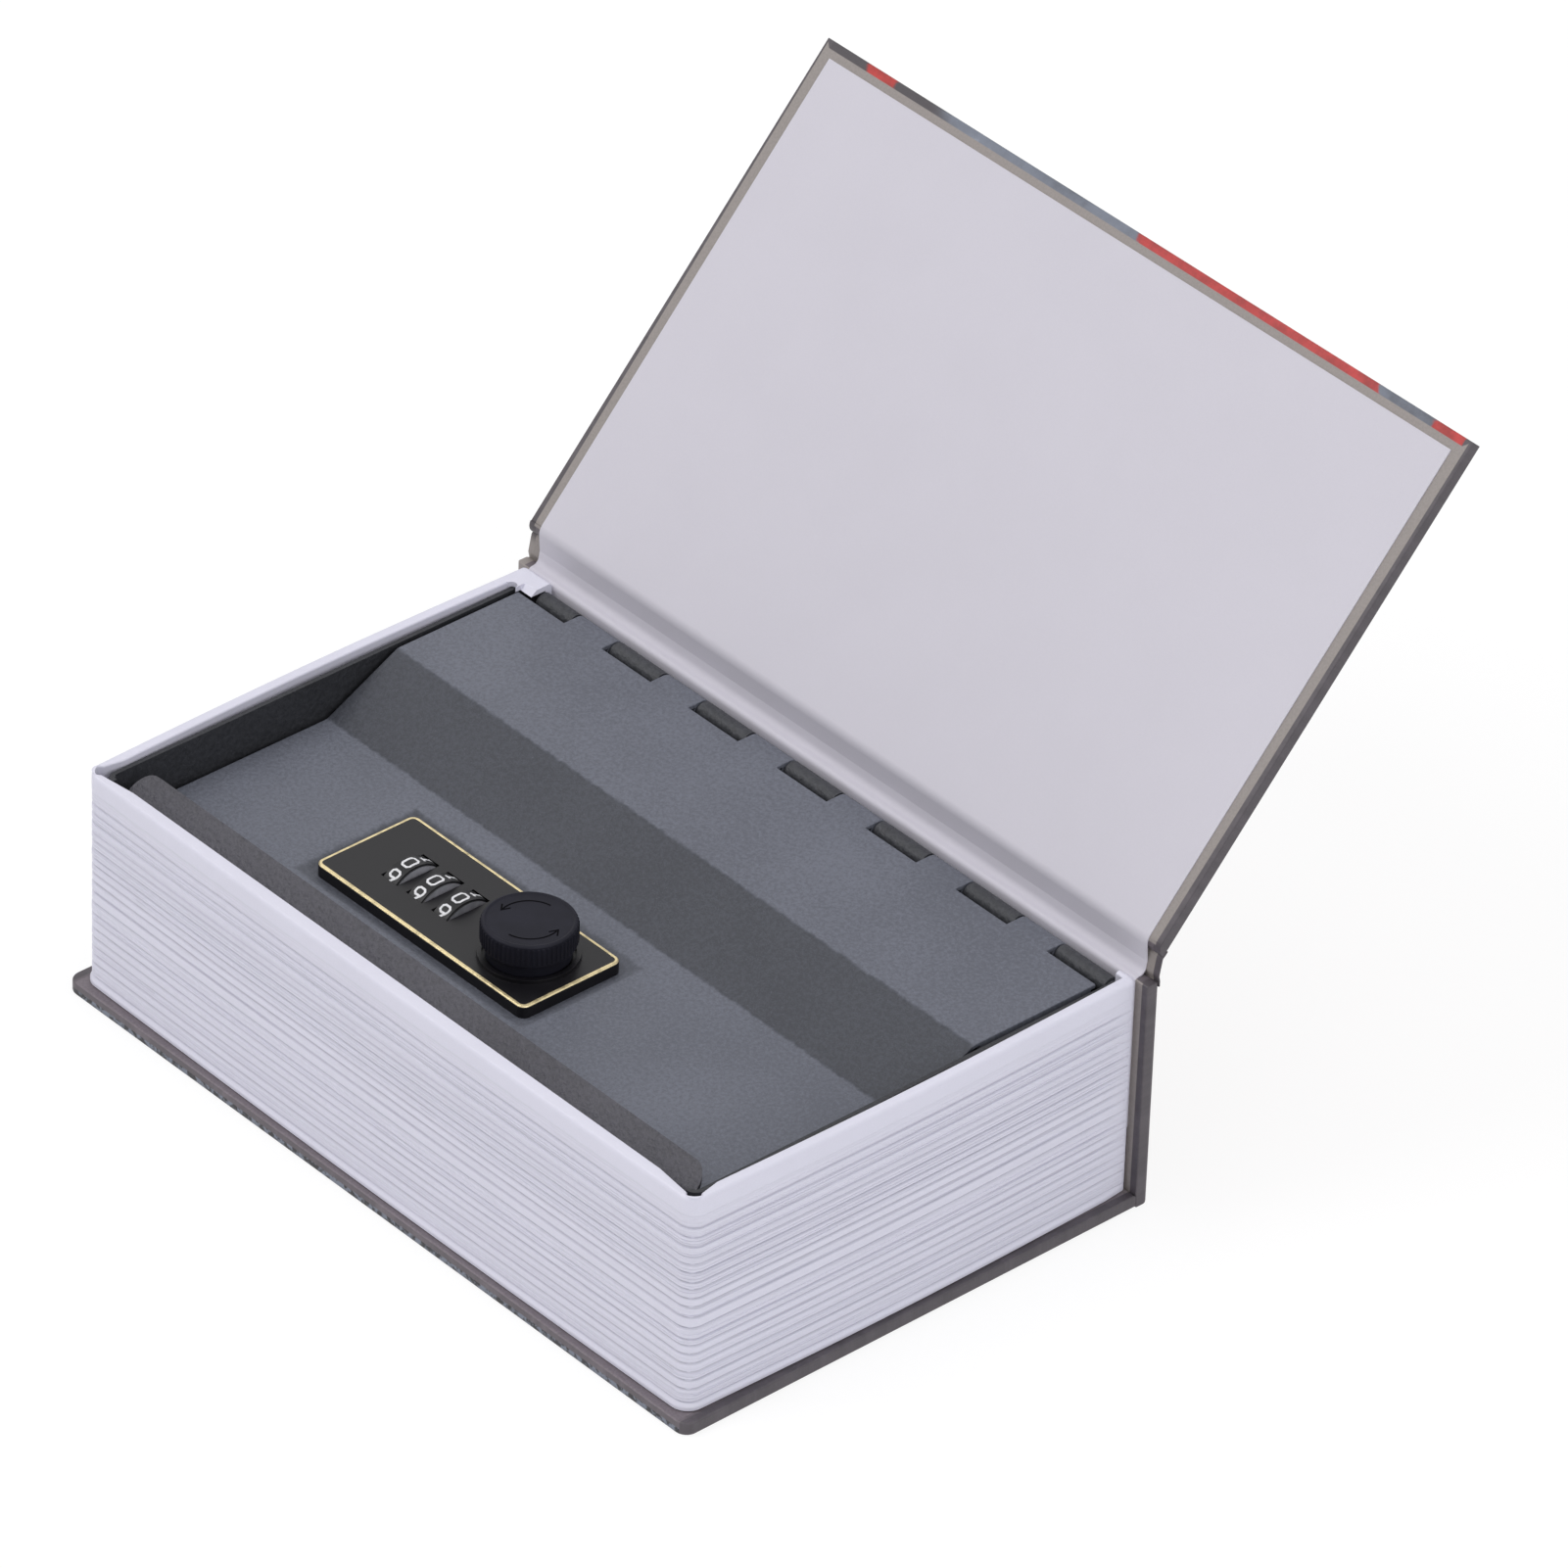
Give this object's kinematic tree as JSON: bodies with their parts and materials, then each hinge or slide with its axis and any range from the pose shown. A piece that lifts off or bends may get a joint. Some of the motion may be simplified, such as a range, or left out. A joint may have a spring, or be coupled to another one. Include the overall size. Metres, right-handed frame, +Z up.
{
  "type": "book diversion safe",
  "caption": "Hardback book case that opens on a ribbed page block with a recessed steel cash box, hinged steel lid and dial combination lock with a turn knob.",
  "frame": {"origin": "centre of the back cover's underside, at the mount rest_face", "axes": "+X along the spine, -Y towards the fore-edge, +Y towards the spine, +Z up through the closed book"},
  "size_m": [0.18, 0.1901, 0.1406],
  "materials": {
    "cover_wrap": "printed paper wrap, matt laminate",
    "board": "grey binder's board",
    "endpaper": "smooth white paper",
    "page_plastic": "moulded white plastic, ribbed like page edges",
    "box_steel": "dark grey textured powder coat",
    "lid_steel": "grey textured powder coat",
    "hardware": "zinc plated steel",
    "lock_plastic": "black satin plastic",
    "gold_line": "gold inlay line",
    "dial_plastic": "black plastic with white digits"
  },
  "bodies": {
    "base": {"back_board": "board", "spine_board": "board", "back_wrap": "cover_wrap", "spine_wrap": "cover_wrap", "back_endpaper": "endpaper", "hinge_liner": "endpaper", "page_block": "page_plastic", "box_body": "box_steel", "strike_channel": "box_steel", "hinge_pin": "hardware"},
    "cover_strip": {"joint_cloth": "cover_wrap", "joint_paper": "endpaper"},
    "front_cover": {"front_board": "board", "front_wrap": "cover_wrap", "front_endpaper": "endpaper"},
    "lid": {"lid": "lid_steel", "lock_plate": "lock_plastic", "gold_line": "gold_line", "lock_housing": "lock_plastic", "housing_cover": "lock_plastic", "housing_screw_1": "hardware", "housing_screw_2": "hardware", "housing_screw_3": "hardware", "housing_screw_4": "hardware", "dial_axle": "hardware", "detent_spring": "hardware"},
    "lock_knob": {"knob": "lock_plastic", "spindle": "hardware", "cam": "hardware", "cam_washer": "hardware", "cam_nut": "hardware"},
    "dial_1": {"dial_1": "dial_plastic"},
    "dial_2": {"dial_2": "dial_plastic"},
    "dial_3": {"dial_3": "dial_plastic"},
    "reset_lever": {"reset_lever": "hardware"}
  },
  "joints": [
    {"name": "board_crease", "type": "hinge", "parent": "cover_strip", "child": "front_cover", "pos_m": [0, 0.05784, 0.05609], "axis": [-1, 0, 0], "range_deg": [-73.19, 26.61]},
    {"name": "spine_crease", "type": "hinge", "parent": "base", "child": "cover_strip", "pos_m": [0, 0.0571, 0.0519], "axis": [-1, 0, 0], "range_deg": [-58.82, 21.4]},
    {"name": "lid_hinge", "type": "hinge", "parent": "base", "child": "lid", "pos_m": [0, 0.0516, 0.0485], "axis": [-1, 0, 0], "range_deg": [0, 95]},
    {"name": "knob_turn", "type": "hinge", "parent": "lid", "child": "lock_knob", "pos_m": [0.0016, -0.0207, 0.0353], "axis": [0, 0, 1], "range_deg": [-90, 0]},
    {"name": "dial_1_turn", "type": "hinge", "parent": "lid", "child": "dial_1", "pos_m": [-0.0328, -0.0207, 0.0377], "axis": [1, 0, 0], "continuous": true},
    {"name": "dial_2_turn", "type": "hinge", "parent": "lid", "child": "dial_2", "pos_m": [-0.0255, -0.0207, 0.0377], "axis": [1, 0, 0], "continuous": true},
    {"name": "dial_3_turn", "type": "hinge", "parent": "lid", "child": "dial_3", "pos_m": [-0.0182, -0.0207, 0.0377], "axis": [1, 0, 0], "continuous": true},
    {"name": "reset_slide", "type": "slide", "parent": "lid", "child": "reset_lever", "axis": [0, 1, 0], "range_m": [0, 0.004]}
  ],
  "couplings": [
    {"joint": "spine_crease", "follows": "board_crease", "ratio": 0.80363}
  ]
}
